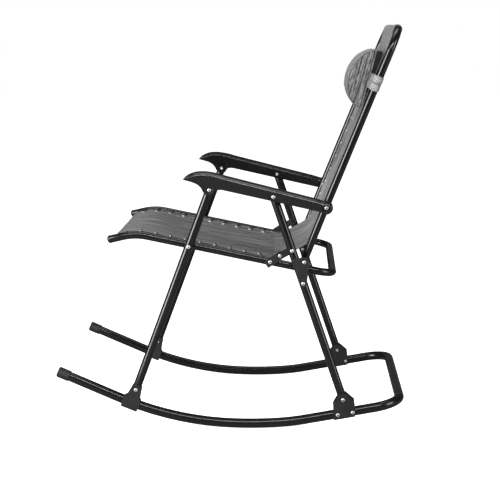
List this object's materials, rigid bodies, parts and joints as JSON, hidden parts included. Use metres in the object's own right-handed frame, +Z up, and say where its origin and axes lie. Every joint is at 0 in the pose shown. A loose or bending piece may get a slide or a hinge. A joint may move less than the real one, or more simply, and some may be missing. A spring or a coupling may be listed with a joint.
{
  "type": "folding rocking chair",
  "caption": "Folding camp rocking chair: curved steel tube base, laced mesh sling seat and back, plastic armrests and a strapped headrest pillow.",
  "frame": {"origin": "on the floor under the middle of the chair's bounding box", "axes": "+Z up; the sitter faces -X; the sitter's left is -Y, so Y is the chair's width"},
  "size_m": [0.9048, 0.626, 1.0353],
  "materials": {
    "frame_paint": "semi-gloss black powder coat",
    "rivet_steel": "bright zinc",
    "armrest_plastic": "satin moulded",
    "cap_rubber": "matt",
    "plug_plastic": "satin moulded",
    "seat_mesh": "woven melange",
    "back_mesh": "woven melange",
    "pillow_fabric": "ribbed weave",
    "strap_elastic": "woven elastic",
    "lacing_cord": "braided"
  },
  "bodies": {
    "base": {"rocker_base": "frame_paint", "rocker_cap_left": "cap_rubber", "rocker_cap_right": "cap_rubber", "rear_bracket_left": "frame_paint", "rear_bracket_right": "frame_paint", "bracket_front_rivet_left": "rivet_steel", "bracket_front_rivet_right": "rivet_steel", "bracket_rear_rivet_left": "rivet_steel", "bracket_rear_rivet_right": "rivet_steel", "bracket_pivot_rivet_left": "rivet_steel", "bracket_pivot_rivet_right": "rivet_steel"},
    "rear_legs": {"rear_leg_left": "frame_paint", "rear_leg_right": "frame_paint", "rear_arm_rivet_left": "rivet_steel", "rear_arm_rivet_right": "rivet_steel", "link_pivot_rivet_left": "rivet_steel", "link_pivot_rivet_right": "rivet_steel", "plate_pivot_rivet_left": "rivet_steel", "plate_pivot_rivet_right": "rivet_steel"},
    "armrests": {"armrest_left": "armrest_plastic", "armrest_right": "armrest_plastic", "front_arm_rivet_left": "rivet_steel", "front_arm_rivet_right": "rivet_steel", "back_pivot_rivet_left": "rivet_steel", "back_pivot_rivet_right": "rivet_steel"},
    "front_legs": {"front_leg_left": "frame_paint", "front_leg_right": "frame_paint", "seat_pivot_rivet_left": "rivet_steel", "seat_pivot_rivet_right": "rivet_steel"},
    "front_clips": {"front_clip_left": "frame_paint", "front_clip_right": "frame_paint", "clip_rivet_left": "rivet_steel", "clip_rivet_right": "rivet_steel"},
    "seat_frame": {"seat_frame": "frame_paint", "seat_cross_tube": "frame_paint", "seat_cap_left": "plug_plastic", "seat_cap_right": "plug_plastic", "seat_sling": "seat_mesh", "seat_lacing_left": "lacing_cord", "seat_lacing_right": "lacing_cord"},
    "seat_links": {"link_lug_left": "frame_paint", "link_lug_right": "frame_paint", "link_bar_left": "frame_paint", "link_bar_right": "frame_paint", "lug_pivot_rivet_left": "rivet_steel", "lug_pivot_rivet_right": "rivet_steel", "link_joint_rivet_left": "rivet_steel", "link_joint_rivet_right": "rivet_steel"},
    "back_plates": {"back_plate_left": "frame_paint", "back_plate_right": "frame_paint", "plate_top_rivet_left": "rivet_steel", "plate_top_rivet_right": "rivet_steel"},
    "back_frame": {"back_frame": "frame_paint", "back_sling": "back_mesh", "hip_sling": "back_mesh", "back_lacing_left": "lacing_cord", "back_lacing_right": "lacing_cord"},
    "headrest": {"headrest_pillow": "pillow_fabric", "headrest_strap_left": "strap_elastic", "headrest_strap_right": "strap_elastic"}
  },
  "joints": [
    {"name": "base_tilt", "type": "hinge", "parent": "base", "child": "rear_legs", "pos_m": [0.2902, 0, 0.0796], "axis": [0, 1, 0], "range_deg": [0, 18]},
    {"name": "frame_fold", "type": "hinge", "parent": "rear_legs", "child": "armrests", "pos_m": [0.1099, 0, 0.6047], "axis": [0, 1, 0], "range_deg": [0, 48], "deforming": ["hip_sling"]},
    {"name": "back_pivot", "type": "hinge", "parent": "armrests", "child": "back_frame", "pos_m": [0.2438, 0, 0.5774], "axis": [0, 1, 0], "range_deg": [-90, 0]},
    {"name": "plate_pivot", "type": "hinge", "parent": "rear_legs", "child": "back_plates", "pos_m": [0.1859, 0, 0.3824], "axis": [0, 1, 0], "range_deg": [0, 132]},
    {"name": "front_leg_pivot", "type": "hinge", "parent": "armrests", "child": "front_legs", "pos_m": [-0.0519, 0, 0.6213], "axis": [0, 1, 0], "range_deg": [-90, 0]},
    {"name": "seat_pivot", "type": "hinge", "parent": "front_legs", "child": "seat_frame", "pos_m": [-0.1061, 0, 0.475], "axis": [0, 1, 0], "range_deg": [0, 92]},
    {"name": "link_pivot", "type": "hinge", "parent": "rear_legs", "child": "seat_links", "pos_m": [0.1573, 0, 0.4661], "axis": [0, 1, 0], "range_deg": [-68, 0]},
    {"name": "clip_pivot", "type": "hinge", "parent": "front_legs", "child": "front_clips", "pos_m": [-0.2444, 0, 0.1015], "axis": [0, 1, 0], "range_deg": [0, 20]},
    {"name": "headrest_slide", "type": "slide", "parent": "back_frame", "child": "headrest", "axis": [0.3731, 0, 0.9278], "range_m": [-0.12, 0.02]}
  ],
  "couplings": [
    {"joint": "back_pivot", "follows": "frame_fold", "ratio": -1.83},
    {"joint": "plate_pivot", "follows": "frame_fold", "ratio": 2.7103},
    {"joint": "front_leg_pivot", "follows": "frame_fold", "ratio": -1.8182},
    {"joint": "seat_pivot", "follows": "frame_fold", "ratio": 1.8673},
    {"joint": "link_pivot", "follows": "frame_fold", "ratio": -1.37},
    {"joint": "clip_pivot", "follows": "frame_fold", "ratio": 0.4}
  ]
}
